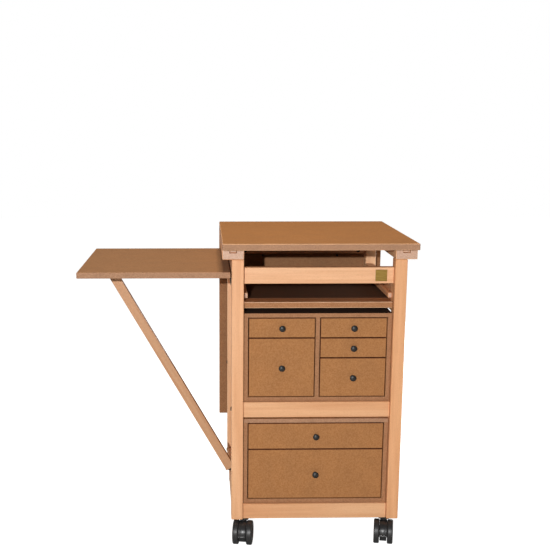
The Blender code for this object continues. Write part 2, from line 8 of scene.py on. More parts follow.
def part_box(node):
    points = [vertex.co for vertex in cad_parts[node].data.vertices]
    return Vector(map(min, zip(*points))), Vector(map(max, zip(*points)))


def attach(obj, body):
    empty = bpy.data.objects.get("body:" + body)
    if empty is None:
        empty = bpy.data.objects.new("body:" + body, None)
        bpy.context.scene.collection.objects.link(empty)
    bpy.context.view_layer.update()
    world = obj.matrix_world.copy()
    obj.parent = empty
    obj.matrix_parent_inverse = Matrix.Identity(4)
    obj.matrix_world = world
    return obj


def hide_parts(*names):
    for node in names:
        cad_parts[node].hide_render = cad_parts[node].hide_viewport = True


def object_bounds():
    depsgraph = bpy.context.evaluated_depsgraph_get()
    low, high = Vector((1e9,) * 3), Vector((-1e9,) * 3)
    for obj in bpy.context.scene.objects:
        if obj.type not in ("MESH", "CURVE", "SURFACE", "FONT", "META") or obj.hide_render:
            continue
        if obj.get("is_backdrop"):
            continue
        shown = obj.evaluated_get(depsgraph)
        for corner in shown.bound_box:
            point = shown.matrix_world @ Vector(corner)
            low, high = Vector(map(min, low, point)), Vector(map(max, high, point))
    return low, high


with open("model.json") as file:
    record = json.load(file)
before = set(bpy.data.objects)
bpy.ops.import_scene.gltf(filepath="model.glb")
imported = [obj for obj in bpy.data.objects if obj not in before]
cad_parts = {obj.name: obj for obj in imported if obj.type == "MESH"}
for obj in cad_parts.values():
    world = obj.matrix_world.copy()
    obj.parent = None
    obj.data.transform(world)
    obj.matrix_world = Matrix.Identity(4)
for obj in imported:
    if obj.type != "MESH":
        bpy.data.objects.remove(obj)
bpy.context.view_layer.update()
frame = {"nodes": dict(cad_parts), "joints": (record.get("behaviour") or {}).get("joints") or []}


# Posts and rails
# The frame is planed beech, finished with oil. The four posts stand on the casters, and the rails between
# them are held by bolts through the posts or by dowels.
def linear(code):
    """The linear colour of an sRGB hex value."""
    parts = [int(code[i:i + 2], 16) / 255 for i in (1, 3, 5)]
    return (*(c / 12.92 if c <= 0.04045 else ((c + 0.055) / 1.055) ** 2.4 for c in parts), 1.0)


def finish(name):
    """A new material and its shader."""
    made = bpy.data.materials.new(name)
    made.use_nodes = True
    return made, made.node_tree.nodes["Principled BSDF"]


def add(material, kind, links=None, **settings):
    """Adds a node. links gives each input a value or the output that feeds it."""
    made = material.node_tree.nodes.new(kind)
    for name, value in settings.items():
        setattr(made, name, value)
    for name, value in (links or {}).items():
        if isinstance(value, bpy.types.NodeSocket):
            material.node_tree.links.new(value, made.inputs[name])
        else:
            made.inputs[name].default_value = value
    return made


def dress(node_names, material):
    """Gives CAD nodes a finish."""
    for name in node_names:
        frame["nodes"][name].material_slots[0].material = material


def oiled_beech(name, turn, deep="#E6B083", pale="#F3C398"):
    """Planed, oiled beech: a pale pink-tan with soft straight grain, short darker flecks and a low sheen.

    turn is the rotation that lays the piece's length along X. The flecks of real beech are 2 mm long and a
    third of a millimetre wide, and its pores a tenth. The flecks are drawn two to three times as coarse and
    the pores ten times, to show.
    """
    made, shader = finish(name)
    place = add(made, "ShaderNodeTexCoord")
    lengthways = add(made, "ShaderNodeMapping", {"Vector": place.outputs["Object"], "Rotation": turn})
    layers = {}
    # The length and width of each layer's streaks in metres, and its detail.
    grains = {"board": (0.9, 0.16, 1.0), "figure": (0.26, 0.0085, 3.0), "pores": (0.035, 0.0011, 2.0)}
    for layer, (length, width, detail) in grains.items():
        links = {"Vector": lengthways.outputs["Vector"], "Scale": (1 / length, 1 / width, 1 / width)}
        stretched = add(made, "ShaderNodeMapping", links)
        links = {"Vector": stretched.outputs["Vector"], "Scale": 1.0, "Detail": detail, "Roughness": 0.55}
        layers[layer] = add(made, "ShaderNodeTexNoise", links).outputs["Fac"]
    tone = add(made, "ShaderNodeValToRGB", {"Fac": layers["figure"]})
    tone.color_ramp.elements[0].position = 0.32
    tone.color_ramp.elements[0].color = linear(deep)
    tone.color_ramp.elements[1].position = 0.68
    tone.color_ramp.elements[1].color = linear(pale)
    drift = add(made, "ShaderNodeValToRGB", {"Fac": layers["board"]})
    drift.color_ramp.elements[0].position = 0.35
    drift.color_ramp.elements[0].color = linear("#F2DDCB")
    drift.color_ramp.elements[1].position = 0.65
    drift.color_ramp.elements[1].color = linear("#FFFFFF")
    links = {"Fac": 1.0, "Color1": tone.outputs["Color"], "Color2": drift.outputs["Color"]}
    drifted = add(made, "ShaderNodeMixRGB", links, blend_type="MULTIPLY")
    links = {"Value": layers["pores"], "From Min": 0.3, "From Max": 0.7, "To Min": 0.93}
    pored = add(made, "ShaderNodeMapRange", links)
    links = {"Fac": 1.0, "Color1": drifted.outputs["Color"], "Color2": pored.outputs["Result"]}
    grained = add(made, "ShaderNodeMixRGB", links, blend_type="MULTIPLY")
    links = {"Vector": lengthways.outputs["Vector"], "Scale": (1 / 0.006, 1 / 0.0016, 1 / 0.0016)}
    stretched = add(made, "ShaderNodeMapping", links)
    cells = add(made, "ShaderNodeTexVoronoi", {"Vector": stretched.outputs["Vector"], "Scale": 1.0})
    fleck = add(made, "ShaderNodeMapRange", {
        "Value": cells.outputs["Distance"], "From Min": 0.12, "From Max": 0.34, "To Min": 0.42,
        "To Max": 0.0})
    links = {"Fac": fleck.outputs["Result"], "Color1": grained.outputs["Color"], "Color2": linear("#C28455")}
    flecked = add(made, "ShaderNodeMixRGB", links)
    # A face turned to either end of the length shows sawn end grain.
    links = {"Vector": place.outputs["Normal"], "Rotation": turn}
    outward = add(made, "ShaderNodeMapping", links, vector_type="VECTOR")
    parts = add(made, "ShaderNodeSeparateXYZ", {"Vector": outward.outputs["Vector"]})
    ends = add(made, "ShaderNodeMath", {0: parts.outputs["X"]}, operation="ABSOLUTE")
    end_grain = add(made, "ShaderNodeMath", {0: ends.outputs["Value"], 1: 0.8}, operation="GREATER_THAN")
    speck = add(made, "ShaderNodeTexNoise", {
        "Vector": place.outputs["Object"], "Scale": 1 / 0.0016, "Detail": 2.0})
    sawn = add(made, "ShaderNodeValToRGB", {"Fac": speck.outputs["Fac"]})
    sawn.color_ramp.elements[0].position = 0.35
    sawn.color_ramp.elements[0].color = linear("#BD957B")
    sawn.color_ramp.elements[1].position = 0.65
    sawn.color_ramp.elements[1].color = linear("#D0AC95")
    colour = add(made, "ShaderNodeMixRGB", {
        "Fac": end_grain.outputs["Value"], "Color1": flecked.outputs["Color"],
        "Color2": sawn.outputs["Color"]})
    sheen = add(made, "ShaderNodeMapRange", {"Value": layers["figure"], "To Min": 0.42, "To Max": 0.58})
    relief = add(made, "ShaderNodeBump", {"Height": layers["pores"], "Strength": 0.12, "Distance": 0.0003})
    made.node_tree.links.new(colour.outputs["Color"], shader.inputs["Base Color"])
    made.node_tree.links.new(sheen.outputs["Result"], shader.inputs["Roughness"])
    made.node_tree.links.new(relief.outputs["Normal"], shader.inputs["Normal"])
    shader.inputs["IOR"].default_value = 1.48
    return made


SIDES = {"left": -1, "right": 1}
ENDS = ("front", "rear")
LEVELS = ("lower", "middle", "upper")
beech_upright = oiled_beech("oiled_beech_upright", (0, math.pi / 2, 0))
beech_upright_pale = oiled_beech("oiled_beech_upright_pale", (0, math.pi / 2, 0), "#EBB88B", "#F8CBA0")
beech_across = oiled_beech("oiled_beech_across", (0, 0, 0))
beech_across_dark = oiled_beech("oiled_beech_across_dark", (0, 0, 0), "#DEA678", "#EBB88B")
beech_deep = oiled_beech("oiled_beech_front_to_back", (0, 0, -math.pi / 2))
dress([f"post_{end}_left" for end in ENDS], beech_upright)
dress([f"post_{end}_right" for end in ENDS], beech_upright_pale)
dress(["front_rail_upper"] + [f"rear_rail_{level}" for level in LEVELS], beech_across)
dress(["front_rail_lower", "front_rail_middle"], beech_across_dark)
dress([f"side_rail_{level}_{side}" for level in ("lower", "upper") for side in SIDES], beech_deep)
dress(["flap_rail"], beech_deep)


# Frame bolts and barrel nuts
# Blackened cap bolts pull the middle front rail and all the rear rails to their posts, each with a barrel
# nut let into the rail's hidden face. Both are turned steel. The other rails are dowelled and show nothing.
BOLT_RADIUS = 0.0052
BOLT_RISE = 0.0022
BOLT_SOCKET_RADIUS = 0.0024
BOLT_SOCKET_DEPTH = 0.00154
NUT_RADIUS = 0.0050
NUT_FLAT_RADIUS = 0.0045
NUT_PROUD = 0.0004
NUT_SLOT_LENGTH = 0.0065
NUT_SLOT_WIDTH = 0.0012
NUT_SLOT_DEPTH = 0.00032
NUT_FROM_POST = 0.020
SEAM_REACH = 0.000001
WELD_REACH = 0.00006
SMOOTH_ANGLE = math.radians(38)
# The end and level of each bolted rail, and how far its bolts are above the rail's middle.
BOLTED_RAILS = (
    ("front", "middle", 0.0), ("rear", "lower", 0.009), ("rear", "middle", 0.009), ("rear", "upper", -0.0109))


def turned(name, profile, steps=40):
    """A piece turned about Z from (radius, height) points."""
    bpy.ops.object.select_all(action="DESELECT")
    bpy.ops.mesh.primitive_plane_add(size=1)
    made = bpy.context.object
    made.name = name
    bpy.ops.object.mode_set(mode="EDIT")
    bpy.ops.mesh.select_all(action="SELECT")
    bpy.ops.mesh.merge(type="CENTER")
    bpy.ops.transform.translate(value=(profile[0][0], 0, profile[0][1]))
    for before, after in zip(profile, profile[1:]):
        step = (after[0] - before[0], 0, after[1] - before[1])
        bpy.ops.mesh.extrude_vertices_move(TRANSFORM_OT_translate={"value": step})
    bpy.ops.mesh.select_all(action="SELECT")
    bpy.ops.mesh.spin(steps=steps, angle=2 * math.pi, center=(0, 0, 0), axis=(0, 0, 1))
    bpy.ops.mesh.select_all(action="SELECT")
    bpy.ops.mesh.remove_doubles(threshold=SEAM_REACH)
    bpy.ops.mesh.normals_make_consistent(inside=False)
    bpy.ops.object.mode_set(mode="OBJECT")
    bpy.ops.object.shade_smooth_by_angle(angle=SMOOTH_ANGLE)
    return made


def arc(middle, radius, start, end, count):
    """Points on an arc from one angle to another, in degrees from +X."""
    angles = [math.radians(start + (end - start) * i / (count - 1)) for i in range(count)]
    return [(middle[0] + radius * math.cos(a), middle[1] + radius * math.sin(a)) for a in angles]


def weld():
    """Closes the hairline seams and slivers that a cut leaves in the piece at hand."""
    bpy.ops.object.mode_set(mode="EDIT")
    bpy.ops.mesh.select_all(action="SELECT")
    bpy.ops.mesh.remove_doubles(threshold=WELD_REACH)
    bpy.ops.mesh.dissolve_degenerate(threshold=WELD_REACH)
    bpy.ops.object.mode_set(mode="OBJECT")


def cut(made, cutter):
    """Takes the cutter's shape out of a piece and removes the cutter."""
    bpy.ops.object.select_all(action="DESELECT")
    made.select_set(True)
    bpy.context.view_layer.objects.active = made
    hollow = made.modifiers.new("Cut", "BOOLEAN")
    hollow.object = cutter
    hollow.operation = "DIFFERENCE"
    bpy.ops.object.modifier_apply(modifier="Cut")
    bpy.data.objects.remove(cutter, do_unlink=True)
    weld()


def hexagon(radius, depth, height):
    """A six-sided cutter that reaches down from a height."""
    bpy.ops.object.select_all(action="DESELECT")
    bpy.ops.mesh.primitive_cylinder_add(vertices=6, radius=radius, depth=2 * depth, location=(0, 0, height))
    bpy.ops.object.transform_apply(location=True, rotation=True, scale=True)
    return bpy.context.object


def bar(length, width, depth, height, angle=0.0):
    """A straight slot cutter that reaches down from a height."""
    bpy.ops.object.select_all(action="DESELECT")
    bpy.ops.mesh.primitive_cube_add(size=1, location=(0, 0, height), rotation=(0, 0, angle))
    bpy.context.object.scale = (length, width, 2 * depth)
    bpy.ops.object.transform_apply(location=True, rotation=True, scale=True)
    return bpy.context.object


def facing(direction, spot):
    """The place that turns a piece's +Z to a direction at a spot."""
    return Matrix.Translation(spot) @ Vector(direction).to_track_quat("Z", "Y").to_matrix().to_4x4()


def copies(model, name, places, keep=False):
    """One piece made of copies of a model, each at its place."""
    made = []
    for place in places:
        one = bpy.data.objects.new(name, model.data.copy())
        one.data.transform(place)
        bpy.context.collection.objects.link(one)
        made.append(one)
    joined = join(made, name)
    if not keep:
        bpy.data.objects.remove(model, do_unlink=True)
    return joined


def join(pieces, name):
    """One piece made of several."""
    bpy.ops.object.select_all(action="DESELECT")
    for piece in pieces:
        piece.select_set(True)
    bpy.context.view_layer.objects.active = pieces[0]
    if len(pieces) > 1:
        bpy.ops.object.join()
    pieces[0].name = name
    return pieces[0]


def settle(piece, material, body):
    """Gives a new piece its finish and the body that it moves with."""
    piece.data.materials.clear()
    piece.data.materials.append(material)
    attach(piece, body)
    return piece


def plated_steel(name, colour, rough):
    """Pressed or turned steel, blackened or zinc plated: a dull metal, faintly clouded every few mm."""
    made, shader = finish(name)
    place = add(made, "ShaderNodeTexCoord")
    cloud = add(made, "ShaderNodeTexNoise", {
        "Vector": place.outputs["Object"], "Scale": 1 / 0.004, "Detail": 4.0})
    tint = add(made, "ShaderNodeValToRGB", {"Fac": cloud.outputs["Fac"]})
    tint.color_ramp.elements[0].position = 0.3
    tint.color_ramp.elements[0].color = tuple(0.8 * c for c in linear(colour)[:3]) + (1.0,)
    tint.color_ramp.elements[1].position = 0.7
    tint.color_ramp.elements[1].color = linear(colour)
    gloss = add(made, "ShaderNodeMapRange", {
        "Value": cloud.outputs["Fac"], "To Min": rough - 0.08, "To Max": rough + 0.1})
    grain = add(made, "ShaderNodeBump", {
        "Height": cloud.outputs["Fac"], "Strength": 0.06, "Distance": 0.0002})
    made.node_tree.links.new(tint.outputs["Color"], shader.inputs["Base Color"])
    made.node_tree.links.new(gloss.outputs["Result"], shader.inputs["Roughness"])
    made.node_tree.links.new(grain.outputs["Normal"], shader.inputs["Normal"])
    shader.inputs["Metallic"].default_value = 1.0
    return made


black_steel = plated_steel("blackened_steel", "#3A3836", 0.42)
zinc_steel = plated_steel("zinc_plated_steel", "#6A655E", 0.5)
dome = arc((BOLT_RADIUS - BOLT_RISE, 0.0), BOLT_RISE, 90, 0, 7)
bolt = turned("bolt", [(0.0, BOLT_RISE)] + dome + [(0.0, 0.0)])
cut(bolt, hexagon(BOLT_SOCKET_RADIUS, BOLT_SOCKET_DEPTH, BOLT_RISE))
nut = turned("nut", [(0.0, NUT_PROUD), (NUT_FLAT_RADIUS, NUT_PROUD), (NUT_RADIUS, 0.0), (0.0, 0.0)])
cut(nut, bar(NUT_SLOT_LENGTH, NUT_SLOT_WIDTH, NUT_SLOT_DEPTH, NUT_PROUD))
bolt_places = []
nut_places = []
for end, level, lift in BOLTED_RAILS:
    rail_low, rail_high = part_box(f"{end}_rail_{level}")
    middle = (rail_low + rail_high) / 2
    height = middle.z + lift
    hidden = rail_high.y if end == "front" else rail_low.y
    inward = (0, 1, 0) if end == "front" else (0, -1, 0)
    for side, sign in SIDES.items():
        post_low, post_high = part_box(f"post_{end}_{side}")
        outside = post_low.x if sign < 0 else post_high.x
        bolt_places.append(facing((sign, 0, 0), (outside, middle.y, height)))
        inside = (post_high.x if sign < 0 else post_low.x) - sign * NUT_FROM_POST
        nut_places.append(facing(inward, (inside, hidden, height)))
settle(copies(bolt, "frame_bolts", bolt_places), black_steel, "table")
settle(copies(nut, "frame_barrel_nuts", nut_places), black_steel, "table")


# Bearers and tongues
# Two beech bearers run front to back over the posts. Each is ploughed along its top for a tongue under the
# table top, so that the top slides to and fro.
dress([f"bearer_{side}" for side in SIDES], beech_deep)
dress([f"top_tongue_{side}" for side in SIDES], beech_deep)


# Table top, rear leaf and side flap
# All three are plain boards of brown medium-density fibreboard, left raw and waxed. Their sanded edges are
# pinker and paler than their pressed faces.
def raw_fibreboard(name, edges, face=("#9E693B", "#AE7748"), edge=("#A0775B", "#B2886A"), arris=None):
    """Waxed brown fibreboard: an even felt of fine fibres with a dull sheen, and edges of another brown.

    edges names the axes that the board's sawn edges face. face, edge and arris are pairs of tones, and an
    arris with no tones of its own takes the edge's. Paler arris tones, where given, are a painted highlight.
    Fibre clumps are about a millimetre across, and are drawn three times as coarse to show.
    """
    made, shader = finish(name)
    place = add(made, "ShaderNodeTexCoord")
    where = place.outputs["Object"]
    felt = add(made, "ShaderNodeTexNoise", {
        "Vector": where, "Scale": 1 / 0.0032, "Detail": 4.0, "Roughness": 0.6})
    cloud = add(made, "ShaderNodeTexNoise", {"Vector": where, "Scale": 1 / 0.045, "Detail": 3.0})
    fibres = add(made, "ShaderNodeTexVoronoi", {"Vector": where, "Scale": 1 / 0.0024})
    tones = []
    for dark, light in (face, arris or edge, edge):
        tone = add(made, "ShaderNodeValToRGB", {"Fac": felt.outputs["Fac"]})
        tone.color_ramp.elements[0].position = 0.37
        tone.color_ramp.elements[0].color = linear(dark)
        tone.color_ramp.elements[1].position = 0.63
        tone.color_ramp.elements[1].color = linear(light)
        tones.append(tone.outputs["Color"])
    parts = add(made, "ShaderNodeSeparateXYZ", {"Vector": place.outputs["Normal"]})
    total = 0.0
    for axis in edges:
        size = add(made, "ShaderNodeMath", {0: parts.outputs[axis]}, operation="ABSOLUTE")
        lean = add(made, "ShaderNodeMath", {0: total, 1: size.outputs["Value"]}, operation="ADD")
        total = lean.outputs["Value"]
    # A face that leans past the first limit is an arris, and past the second an edge.
    base = tones[0]
    for tone, limit in zip(tones[1:], (0.2, 0.8)):
        past = add(made, "ShaderNodeMath", {0: total, 1: limit}, operation="GREATER_THAN")
        links = {"Fac": past.outputs["Value"], "Color1": base, "Color2": tone}
        base = add(made, "ShaderNodeMixRGB", links).outputs["Color"]
    shade = add(made, "ShaderNodeMapRange", {
        "Value": cloud.outputs["Fac"], "From Min": 0.3, "From Max": 0.7, "To Min": 0.94, "To Max": 1.04})
    links = {"Fac": 1.0, "Color1": base, "Color2": shade.outputs["Result"]}
    clouded = add(made, "ShaderNodeMixRGB", links, blend_type="MULTIPLY")
    strand = add(made, "ShaderNodeMapRange", {
        "Value": fibres.outputs["Distance"], "From Min": 0.0, "From Max": 0.3, "To Min": 0.3, "To Max": 0.0})
    links = {"Fac": strand.outputs["Result"], "Color1": clouded.outputs["Color"], "Color2": linear("#C79A6C")}
    colour = add(made, "ShaderNodeMixRGB", links)
    gloss = add(made, "ShaderNodeMapRange", {"Value": cloud.outputs["Fac"], "To Min": 0.74, "To Max": 0.86})
    relief = add(made, "ShaderNodeBump", {"Height": felt.outputs["Fac"], "Strength": 0.1, "Distance": 0.0002})
    made.node_tree.links.new(colour.outputs["Color"], shader.inputs["Base Color"])
    made.node_tree.links.new(gloss.outputs["Result"], shader.inputs["Roughness"])
    made.node_tree.links.new(relief.outputs["Normal"], shader.inputs["Normal"])
    shader.inputs["Specular IOR Level"].default_value = 0.28
    return made


level_board = raw_fibreboard("raw_fibreboard_level", "XY")
upright_board = raw_fibreboard("raw_fibreboard_upright", "XZ")
# The top's pale arris tones are a painted highlight along its arrises.
top_board_painted_highlight = raw_fibreboard(
    "raw_fibreboard_top_painted_highlight", "XY", ("#996636", "#A87442"), arris=("#CC9D77", "#DAAC87"))
dress(["table_top"], top_board_painted_highlight)
dress(["side_flap"], raw_fibreboard("raw_fibreboard_flap", "XY", ("#926844", "#A07652")))
# The leaf's tones are a little darker than the other boards', a painted shade for its place farther from the
# lamp.
dress(["rear_leaf"], raw_fibreboard("raw_fibreboard_leaf", "XZ", ("#8C6242", "#9B704D")))


# Hinges and their screws
# The leaf hangs on two pressed steel strap hinges, zinc plated, and the flap on a long blackened piano hinge,
# whose black is partly a painted shade for the dark under the flap.
# All are fixed with countersunk cross-head screws.
HINGE_SHEET = 0.0011
SCREW_RADIUS = 0.0031
SCREW_FLAT_RADIUS = 0.00248
SCREW_PROUD = 0.0005
SCREW_SLOT_LENGTH = 0.00372
SCREW_SLOT_WIDTH = 0.0009
SCREW_SLOT_DEPTH = 0.0004
LEAF_SCREWS = 3
LEAF_SCREW_FROM_END = 0.007
LEAF_SCREW_FROM_PIN = 0.010
LEAF_SCREW_STAGGER = 0.006
LEAF_STOP_DROP = 0.0765
FLAP_SCREWS = 6
FLAP_SCREW_FROM_END = 0.020
FLAP_SCREW_FROM_EDGE = 0.008

dress([f"leaf_hinge_{side}_{half}" for side in SIDES for half in ("plate", "strap")], zinc_steel)
# The piano hinge and its screws are blackened, partly as a painted shade for the dark under the flap.
dress(["flap_hinge_moving_leaf", "flap_hinge_fixed_leaf"], black_steel)
screw = turned("screw", [
    (0.0, SCREW_PROUD), (SCREW_FLAT_RADIUS, SCREW_PROUD), (SCREW_RADIUS, 0.0), (0.0, 0.0)])
for angle in (0.0, math.pi / 2):
    cut(screw, bar(SCREW_SLOT_LENGTH, SCREW_SLOT_WIDTH, SCREW_SLOT_DEPTH, SCREW_PROUD, angle))


def spread(low, high, count):
    """Evenly spaced values from low to high."""
    return [low + (high - low) * i / (count - 1) for i in range(count)]


plate_places = []
strap_places = []
for side in SIDES:
    low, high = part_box(f"leaf_hinge_{side}_plate")
    for i, y in enumerate(spread(low.y + LEAF_SCREW_FROM_END, high.y - LEAF_SCREW_FROM_PIN, LEAF_SCREWS)):
        x = (low.x + high.x) / 2 + (-1) ** i * LEAF_SCREW_STAGGER
        plate_places.append(facing((0, 0, -1), (x, y, high.z - HINGE_SHEET)))
    low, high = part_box(f"leaf_hinge_{side}_strap")
    for i, z in enumerate(spread(low.z + LEAF_SCREW_FROM_END, high.z - LEAF_SCREW_FROM_PIN, LEAF_SCREWS)):
        x = (low.x + high.x) / 2 + (-1) ** i * LEAF_SCREW_STAGGER
        strap_places.append(facing((0, -1, 0), (x, high.y - HINGE_SHEET, z)))
settle(copies(screw, "leaf_hinge_plate_screws", plate_places, keep=True), zinc_steel, "sliding_top")
settle(copies(screw, "leaf_hinge_strap_screws", strap_places, keep=True), zinc_steel, "leaf")
# One dark screw head stands out of the leaf below each strap.
leaf_low, leaf_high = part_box("rear_leaf")
places = []
for side in SIDES:
    low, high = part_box(f"leaf_hinge_{side}_strap")
    places.append(facing((0, -1, 0), ((low.x + high.x) / 2, leaf_low.y, leaf_high.z - LEAF_STOP_DROP)))
settle(copies(screw, "leaf_stop_screws", places, keep=True), black_steel, "leaf")
low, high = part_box("flap_hinge_moving_leaf")
rows = spread(low.y + FLAP_SCREW_FROM_END, high.y - FLAP_SCREW_FROM_END, FLAP_SCREWS)
places = [facing((0, 0, -1), (low.x + FLAP_SCREW_FROM_EDGE, y, high.z - HINGE_SHEET)) for y in rows]
settle(copies(screw, "flap_hinge_moving_screws", places, keep=True), black_steel, "flap")
low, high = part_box("flap_hinge_fixed_leaf")
places = [facing((-1, 0, 0), (high.x - HINGE_SHEET, y, low.z + FLAP_SCREW_FROM_EDGE)) for y in rows]
settle(copies(screw, "flap_hinge_fixed_screws", places, keep=True), black_steel, "table")


# Strut and its bracket
# A beech prop, its tones darkened as a painted shade from the flap, leans out from the lower left rail and is
# mitred to lie flat under the flap. It turns on the pin of a blackened steel angle bracket behind it, which
# is screwed to the rail.
BRACKET_PLATE = 0.002
BRACKET_SCREWS = (0.006, 0.016)

strut_low, strut_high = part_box("strut")
strut_lean = math.atan2(strut_high.x - strut_low.x, strut_high.z - strut_low.z)
# The strut's darker tones are a painted shade for the flap above it.
beech_leaning_shaded = oiled_beech("oiled_beech_leaning_shaded", (0, math.pi / 2 + strut_lean, 0), "#C8976E", "#D4A880")
dress(["strut"], beech_leaning_shaded)
dress(["strut_bracket"], black_steel)
low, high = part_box("strut_bracket")
rail_low, rail_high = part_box("side_rail_lower_left")
seat = (rail_low.x + rail_high.x) / 2
places = [facing((0, 0, 1), (seat, high.y - inset, low.z + BRACKET_PLATE)) for inset in BRACKET_SCREWS]
settle(copies(screw, "strut_bracket_screws", places), zinc_steel, "table")


# Pull-out shelf, its painted shade sheet and its runners
# A fibreboard shelf slides between pairs of beech runners, which are screwed inside the upper side rails. A
# thin dark felt sheet lies behind a bare strip at the shelf's front, a painted shade for the shadowed depth
# of the shelf.
SHADE_SHEET_FROM_FRONT = 0.051
SHADE_SHEET_MARGIN = 0.002
SHADE_SHEET_THICKNESS = 0.0012
SHADE_SHEET_ARRIS = 0.0003
BOARD_ARRIS = 0.0006


def board(name, low, high, arris=BOARD_ARRIS):
    """A sawn board with its arrises eased."""
    low, high = Vector(low), Vector(high)
    bpy.ops.object.select_all(action="DESELECT")
    bpy.ops.mesh.primitive_cube_add(size=1, location=(low + high) / 2)
    made = bpy.context.object
    made.name = name
    made.scale = high - low
    bpy.ops.object.transform_apply(location=True, rotation=True, scale=True)
    bpy.ops.object.mode_set(mode="EDIT")
    bpy.ops.mesh.select_all(action="SELECT")
    bpy.ops.mesh.bevel(offset=arris, segments=2, affect="EDGES")
    bpy.ops.object.mode_set(mode="OBJECT")
    return made


def painted_shade_felt(name, dark, light):
    """Needled felt: a dull mat of short fibres in mixed tones that takes no highlight. Laid dark where only
    shade falls, it is a painted shade.

    Its fibres are hundredths of a millimetre thick and are drawn as tufts of a millimetre and a half.
    """
    made, shader = finish(name)
    place = add(made, "ShaderNodeTexCoord")
    tufts = add(made, "ShaderNodeTexNoise", {
        "Vector": place.outputs["Object"], "Scale": 1 / 0.0015, "Detail": 5.0, "Roughness": 0.7})
    tone = add(made, "ShaderNodeValToRGB", {"Fac": tufts.outputs["Fac"]})
    tone.color_ramp.elements[0].position = 0.3
    tone.color_ramp.elements[0].color = linear(dark)
    tone.color_ramp.elements[1].position = 0.7
    tone.color_ramp.elements[1].color = linear(light)
    nap = add(made, "ShaderNodeBump", {"Height": tufts.outputs["Fac"], "Strength": 0.5, "Distance": 0.0004})
    made.node_tree.links.new(tone.outputs["Color"], shader.inputs["Base Color"])
    made.node_tree.links.new(nap.outputs["Normal"], shader.inputs["Normal"])
    shader.inputs["Roughness"].default_value = 0.95
    shader.inputs["Specular IOR Level"].default_value = 0.1
    return made


dress([f"shelf_runner_{level}_{side}" for level in ("lower", "upper") for side in SIDES], beech_deep)
# The shelf's pale arris tones are a painted highlight along its front arris.
shelf_board_painted_highlight = raw_fibreboard(
    "raw_fibreboard_shelf_painted_highlight", "XY", ("#A96B3F", "#B97A4B"), ("#9C6A45", "#AE7A53"), ("#E4B892", "#F0C8A4"))
dress(["pull_out_shelf"], shelf_board_painted_highlight)
low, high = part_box("pull_out_shelf")
shade_sheet_low = (low.x + SHADE_SHEET_MARGIN, low.y + SHADE_SHEET_FROM_FRONT, high.z)
shade_sheet_high = (high.x - SHADE_SHEET_MARGIN, high.y - SHADE_SHEET_MARGIN, high.z + SHADE_SHEET_THICKNESS)
# A dark felt sheet, a painted shade for the shadow behind the shelf's bare front strip.
shade_sheet = board("shelf_painted_shade_sheet", shade_sheet_low, shade_sheet_high, SHADE_SHEET_ARRIS)
settle(shade_sheet, painted_shade_felt("brown_painted_shade_felt", "#4F3525", "#694A35"), "shelf")


# Drawer cabinets
# Two fibreboard carcasses stand on the lower and middle rails: bottom and sides glued round a thin back, with
# narrow glide strips for the drawers and a top panel laid over the sides. A divider splits the upper one into
# two columns, and its top is painted near black, a painted shade for the shadowed gap under the shelf.
CARCASS_WALL = 0.010
CARCASS_BACK = 0.006
GLIDE_WIDTH = 0.007
GLIDE_THICKNESS = 0.005
GLIDE_SETBACK = 0.0126
TRAY_LIFT = 0.0033
SEAT = 0.0003
COLUMNS = {
    "upper_cabinet": (
        ("drawer_upper_left_shallow", "drawer_upper_left_deep"),
        ("drawer_upper_right_top", "drawer_upper_right_second", "drawer_upper_right_deep"),
    ),
    "lower_cabinet": (("drawer_lower_shallow", "drawer_lower_deep"),),
}
CARCASS_EDGE = ("#9A6B4A", "#AB7B57")

carcass_board = raw_fibreboard("raw_fibreboard_carcass", "Y", edge=CARCASS_EDGE)
# The upper cabinet's near-black top is a painted shade for the shadowed gap under the shelf.
painted_shade_board = raw_fibreboard("painted_shade_fibreboard", "XY", ("#301B10", "#3C2417"), CARCASS_EDGE)
top_boards = {"upper_cabinet": painted_shade_board, "lower_cabinet": level_board}
for cabinet, columns in COLUMNS.items():
    low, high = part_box(cabinet)
    wall = Vector((CARCASS_WALL, 0, CARCASS_WALL))
    inner_low, inner_high = low + wall, high - wall
    back = high.y - CARCASS_BACK
    boards = [
        board("side", low, (inner_low.x, high.y, inner_high.z)),
        board("side", (inner_high.x, low.y, low.z), (high.x, high.y, inner_high.z)),
        board("floor", (inner_low.x, low.y, low.z), (inner_high.x, high.y, inner_low.z)),
    ]
    if len(columns) > 1:
        middle = (low.x + high.x) / 2
        near, far = middle - CARCASS_WALL / 2, middle + CARCASS_WALL / 2
        boards.append(board("divider", (near, low.y, inner_low.z), (far, back, inner_high.z)))
        openings = ((inner_low.x, near), (far, inner_high.x))
    else:
        openings = ((inner_low.x, inner_high.x),)
    for (left, right), drawers in zip(openings, columns):
        for drawer in drawers:
            tray_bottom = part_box(drawer)[0].z + TRAY_LIFT
            for near, far in ((left, left + GLIDE_WIDTH), (right - GLIDE_WIDTH, right)):
                glide_low = max(tray_bottom - SEAT - GLIDE_THICKNESS, inner_low.z)
                start = (near, low.y + GLIDE_SETBACK, glide_low)
                boards.append(board("glide", start, (far, back, tray_bottom - SEAT)))
    carcass = settle(join(boards, f"{cabinet}_carcass"), carcass_board, "table")
    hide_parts(cabinet)
    panel = board(f"{cabinet}_back", (inner_low.x, back, inner_low.z), (inner_high.x, high.y, inner_high.z))
    settle(panel, upright_board, "table")
    top = board(f"{cabinet}_top", (low.x, low.y, inner_high.z), high)
    settle(top, top_boards[cabinet], "table")


# Drawers
# Each drawer is a fibreboard tray, with sides, back and a thin bottom glued behind a front that fills its
# opening. The fronts' sawn edges and arrises are painted dark, a painted shade for the gaps between the
# drawers.
DRAWER_FRONT = 0.012
DRAWER_SIDE = 0.008
DRAWER_BOTTOM = 0.004
TRAY_DROP = 0.006
FRONT_ARRIS = 0.0008
DRAWERS = [drawer for columns in COLUMNS.values() for column in columns for drawer in column]
